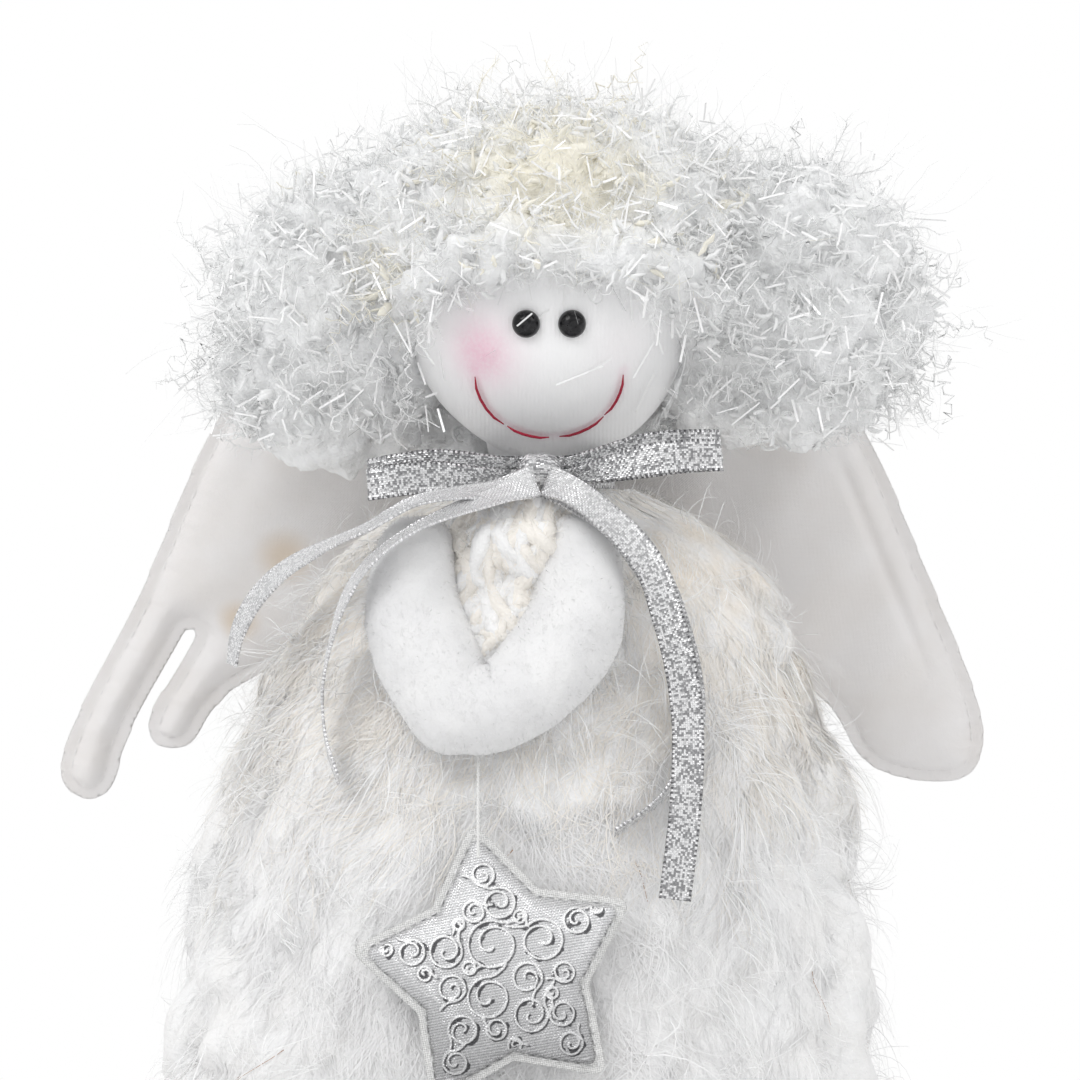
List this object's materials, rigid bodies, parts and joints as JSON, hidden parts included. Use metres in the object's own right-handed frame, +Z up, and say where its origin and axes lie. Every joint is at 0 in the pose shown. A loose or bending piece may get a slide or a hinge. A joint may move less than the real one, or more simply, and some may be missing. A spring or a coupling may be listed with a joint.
{
  "type": "yarn angel figurine",
  "caption": "Standing stuffed cloth angel with curly yarn hair, a furry knitted dress, padded satin wings, a ribbon bow and a padded silver star hanging from its joined hands.",
  "frame": {"origin": "middle of the base, on the surface that the figurine stands on", "axes": "+Z up, the face looks along -Y, +X to the right of a viewer in front"},
  "size_m": [0.1911, 0.1243, 0.28],
  "materials": {
    "fur_yarn": "long soft pile on a knitted ground, matte with a few shiny fibres",
    "hair_yarn": "curly boucle and eyelash yarn with shiny tinsel fibres",
    "jersey": "fine white jersey, matte",
    "fleece": "short brushed fleece, matte",
    "satin": "woven satin, soft sheen",
    "wadding": "loose polyester wadding",
    "cotton": "plain woven cotton, matte",
    "felt": "pressed felt, matte",
    "card": "stiff grey-brown card, uncoated",
    "pellets": "plastic pellets in a cloth bag",
    "lurex": "woven metallic ribbon, glittering, dark edge threads",
    "lame": "silver lame cloth with raised scrolls",
    "organza": "sheer stitched edging",
    "bead": "polished black bead",
    "red_thread": "stranded embroidery thread",
    "white_thread": "fine twisted thread"
  },
  "bodies": {
    "torso": {"base_panel": "cotton", "base_card": "card", "pellet_bag": "pellets", "body_stuffing": "wadding", "body_cover": "cotton", "dress": "fur_yarn", "neck": "jersey", "wing_tab": "felt", "neck_ribbon": "lurex", "bow_knot": "lurex", "bow_loop_right_front": "lurex", "bow_loop_right_back": "lurex", "bow_loop_left_front": "lurex", "bow_loop_left_back": "lurex", "tail_right_long": "lurex", "tail_right_short": "lurex", "tail_left_long": "lurex", "tail_left_short": "lurex"},
    "head": {"head_skin": "jersey", "head_stuffing": "wadding", "left_eye": "bead", "right_eye": "bead", "smile_thread": "red_thread", "hair_crown": "hair_yarn", "hair_fringe": "hair_yarn", "hair_bunch_left": "hair_yarn", "hair_bunch_right": "hair_yarn"},
    "arms": {"right_arm": "fleece", "left_arm": "fleece"},
    "star_thread": {"star_thread": "white_thread"},
    "star": {"star_front": "lame", "star_back": "lame", "star_filling": "wadding", "star_border": "organza"},
    "left_wing": {"left_wing_front": "satin", "left_wing_back": "satin", "left_wing_filling": "wadding"},
    "right_wing": {"right_wing_front": "satin", "right_wing_back": "satin", "right_wing_filling": "wadding"}
  },
  "joints": [
    {"name": "head_tilt", "type": "hinge", "parent": "torso", "child": "head", "pos_m": [0.005, -0.002, 0.214], "axis": [0, 1, 0], "range_deg": [-8, 8], "stiffness_Nm_per_rad": 0.6},
    {"name": "arms_lift", "type": "hinge", "parent": "torso", "child": "arms", "pos_m": [-0.0036, -0.03899, 0.19], "axis": [-1, 0, 0], "range_deg": [0, 20]},
    {"name": "thread_lift", "type": "hinge", "parent": "arms", "child": "star_thread", "pos_m": [-0.0072, -0.05096, 0.1493], "axis": [-1, 0, 0], "range_deg": [0, 60]},
    {"name": "star_sway", "type": "hinge", "parent": "star_thread", "child": "star", "pos_m": [-0.0072, -0.05158, 0.1306], "axis": [0, -0.9976, 0.0688], "range_deg": [-25, 25]},
    {"name": "left_wing_flap", "type": "hinge", "parent": "torso", "child": "left_wing", "pos_m": [-0.00734, 0.03483, 0.189], "axis": [0.0356, 0.3385, -0.9403], "range_deg": [-4, 20], "stiffness_Nm_per_rad": 0.3},
    {"name": "right_wing_flap", "type": "hinge", "parent": "torso", "child": "right_wing", "pos_m": [0.01665, 0.03483, 0.189], "axis": [0.0356, -0.3385, 0.9403], "range_deg": [-4, 20], "stiffness_Nm_per_rad": 0.3}
  ]
}
